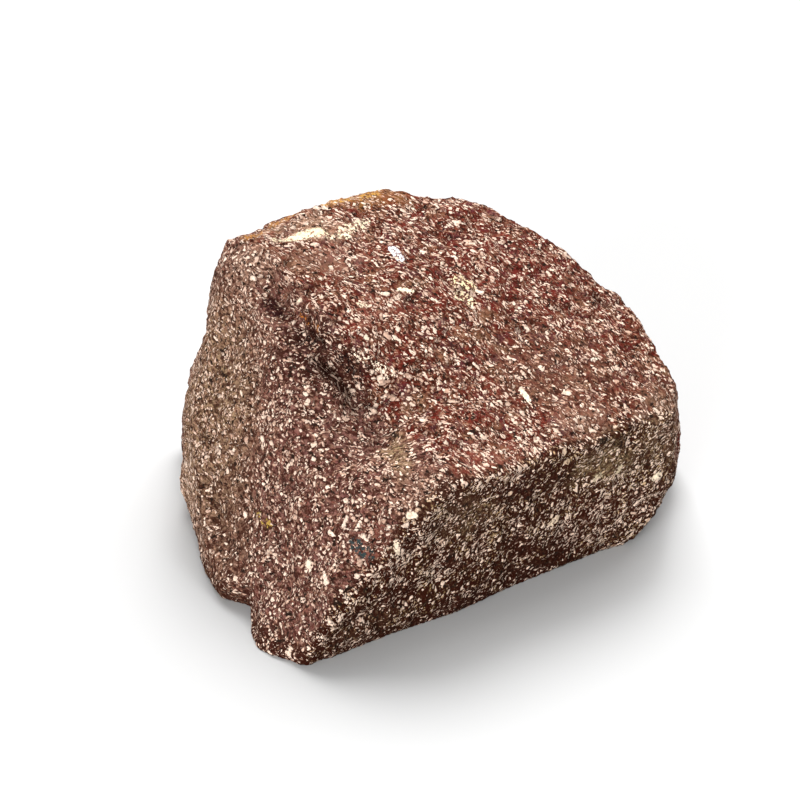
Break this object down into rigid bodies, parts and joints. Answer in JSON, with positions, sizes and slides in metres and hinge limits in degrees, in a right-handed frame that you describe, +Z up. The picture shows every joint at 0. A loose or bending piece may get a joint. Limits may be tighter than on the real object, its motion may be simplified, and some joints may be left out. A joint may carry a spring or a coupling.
{
  "type": "porphyry block",
  "caption": "Rough broken block of red porphyry with a sloping top, a hollowed left front, a steep right front and a flat underside.",
  "frame": {"origin": "the middle of the stone's outer box, on the ground plane that its underside rests on", "axes": "+X to the right along the stone's longest side, +Y to the back, +Z up"},
  "size_m": [0.1526, 0.1346, 0.0786],
  "materials": {
    "porphyry": "rough broken"
  },
  "bodies": {
    "root": {"porphyry_block": "porphyry"}
  },
  "joints": []
}
